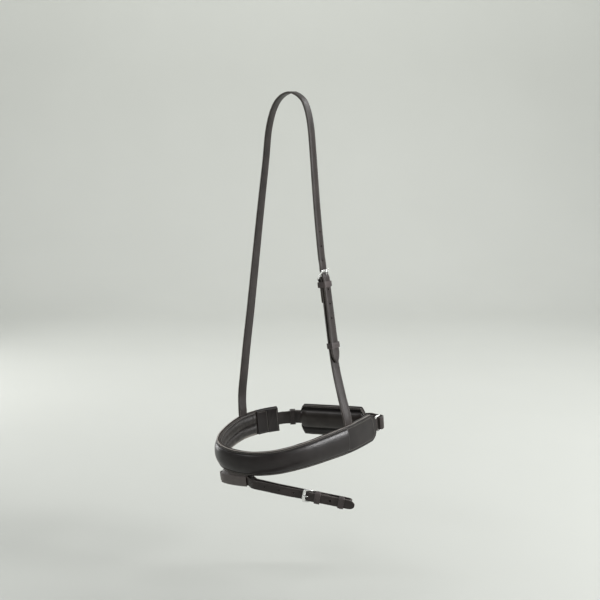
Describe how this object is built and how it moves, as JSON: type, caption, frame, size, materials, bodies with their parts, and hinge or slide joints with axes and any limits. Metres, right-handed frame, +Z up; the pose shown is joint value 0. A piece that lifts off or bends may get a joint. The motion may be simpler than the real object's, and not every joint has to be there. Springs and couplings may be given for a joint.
{
  "type": "bridle noseband",
  "caption": "Padded crank noseband hanging by its sliphead: buckles, a lined nosepiece, a chin pad on a strap doubled through a ring, and a flash strap in a holder.",
  "frame": {"origin": "middle of the sliphead's underside at the poll, where the noseband hangs", "axes": "+X to the near side (the horse's left), +Y back from the nose to the chin, +Z up"},
  "size_m": [0.236, 0.2115, 0.5771],
  "materials": {
    "chin_pad_backing": "dark brown bridle leather, half matt",
    "chin_pad_face": "dark brown bridle leather, half matt",
    "chin_pad_foam_core": "soft foam padding, hidden",
    "crank_base_strap": "dark brown bridle leather, half matt",
    "crank_billet": "dark brown bridle leather, half matt",
    "crank_buckle_frame": "polished stainless steel",
    "crank_buckle_prong": "polished stainless steel",
    "crank_fixed_keeper": "dark brown bridle leather, half matt",
    "crank_sliding_keeper": "dark brown bridle leather, half matt",
    "flash_buckle_frame": "polished stainless steel",
    "flash_buckle_prong": "polished stainless steel",
    "flash_fixed_keeper": "dark brown bridle leather, half matt",
    "flash_holder": "dark brown bridle leather, half matt",
    "flash_sliding_keeper": "dark brown bridle leather, half matt",
    "flash_strap": "dark brown bridle leather, half matt",
    "near_cheek_strap": "dark brown bridle leather, half matt",
    "near_ring": "polished stainless steel",
    "near_ring_chape": "dark brown bridle leather, half matt",
    "near_tab_facing": "soft dark brown lining leather",
    "nosepiece_foam_core": "soft foam padding, hidden",
    "nosepiece_lining": "soft dark brown lining leather",
    "nosepiece_middle_layer": "dark brown bridle leather, half matt",
    "nosepiece_outer_leather": "dark brown bridle leather, half matt",
    "off_tab_facing": "soft dark brown lining leather",
    "sliphead_buckle_frame": "polished stainless steel",
    "sliphead_buckle_prong": "polished stainless steel",
    "sliphead_fixed_keeper": "dark brown bridle leather, half matt",
    "sliphead_sliding_keeper": "dark brown bridle leather, half matt",
    "sliphead_strap": "dark brown bridle leather, half matt"
  },
  "bodies": {
    "noseband": {"chin_pad_backing": "chin_pad_backing", "chin_pad_face": "chin_pad_face", "chin_pad_foam_core": "chin_pad_foam_core", "crank_base_strap": "crank_base_strap", "crank_billet": "crank_billet", "crank_fixed_keeper": "crank_fixed_keeper", "flash_fixed_keeper": "flash_fixed_keeper", "flash_holder": "flash_holder", "flash_strap": "flash_strap", "near_cheek_strap": "near_cheek_strap", "near_ring_chape": "near_ring_chape", "near_tab_facing": "near_tab_facing", "nosepiece_foam_core": "nosepiece_foam_core", "nosepiece_lining": "nosepiece_lining", "nosepiece_middle_layer": "nosepiece_middle_layer", "nosepiece_outer_leather": "nosepiece_outer_leather", "off_tab_facing": "off_tab_facing", "sliphead_fixed_keeper": "sliphead_fixed_keeper", "sliphead_strap": "sliphead_strap"},
    "sliphead_buckle": {"sliphead_buckle_frame": "sliphead_buckle_frame"},
    "sliphead_prong": {"sliphead_buckle_prong": "sliphead_buckle_prong"},
    "sliphead_slider": {"sliphead_sliding_keeper": "sliphead_sliding_keeper"},
    "crank_buckle": {"crank_buckle_frame": "crank_buckle_frame"},
    "crank_prong": {"crank_buckle_prong": "crank_buckle_prong"},
    "crank_slider": {"crank_sliding_keeper": "crank_sliding_keeper"},
    "flash_buckle": {"flash_buckle_frame": "flash_buckle_frame"},
    "flash_prong": {"flash_buckle_prong": "flash_buckle_prong"},
    "flash_slider": {"flash_sliding_keeper": "flash_sliding_keeper"},
    "near_ring": {"near_ring": "near_ring"}
  },
  "joints": [
    {"name": "sliphead_buckle_swing", "type": "hinge", "parent": "noseband", "child": "sliphead_buckle", "pos_m": [0.05058, 0.00023, -0.26415], "axis": [0.0789, 0.9968, 0.0103], "range_deg": [0, 3]},
    {"name": "sliphead_prong_swing", "type": "hinge", "parent": "sliphead_buckle", "child": "sliphead_prong", "pos_m": [0.05058, 0.00023, -0.26415], "axis": [0.0789, 0.9968, 0.0103], "range_deg": [0, 6]},
    {"name": "crank_buckle_swing", "type": "hinge", "parent": "noseband", "child": "crank_buckle", "pos_m": [0.04369, 0.0736, -0.48893], "axis": [-0.0179, -0.1604, 0.9869], "range_deg": [0, 3]},
    {"name": "crank_prong_swing", "type": "hinge", "parent": "crank_buckle", "child": "crank_prong", "pos_m": [0.04369, 0.0736, -0.48893], "axis": [-0.0179, -0.1604, 0.9869], "range_deg": [0, 6]},
    {"name": "flash_buckle_swing", "type": "hinge", "parent": "noseband", "child": "flash_buckle", "pos_m": [0.0861, -0.09562, -0.55849], "axis": [0.1437, 0.0557, 0.988], "range_deg": [0, 3]},
    {"name": "flash_prong_swing", "type": "hinge", "parent": "flash_buckle", "child": "flash_prong", "pos_m": [0.0861, -0.09562, -0.55849], "axis": [0.1437, 0.0557, 0.988], "range_deg": [0, 6]},
    {"name": "sliphead_keeper_slide", "type": "slide", "parent": "noseband", "child": "sliphead_slider", "axis": [0.1547, 0.0107, -0.9879], "range_m": [-0.02, 0.01]},
    {"name": "crank_keeper_slide", "type": "slide", "parent": "noseband", "child": "crank_slider", "axis": [-0.8213, -0.5693, -0.0367], "range_m": [-0.002, 0.006]},
    {"name": "flash_keeper_slide", "type": "slide", "parent": "noseband", "child": "flash_slider", "axis": [0.9172, 0.3594, -0.1719], "range_m": [-0.008, 0.003]},
    {"name": "near_ring_swing", "type": "hinge", "parent": "noseband", "child": "near_ring", "pos_m": [0.10643, 0.06725, -0.48923], "axis": [0, -0.1581, 0.9874], "range_deg": [-5, 6]}
  ]
}
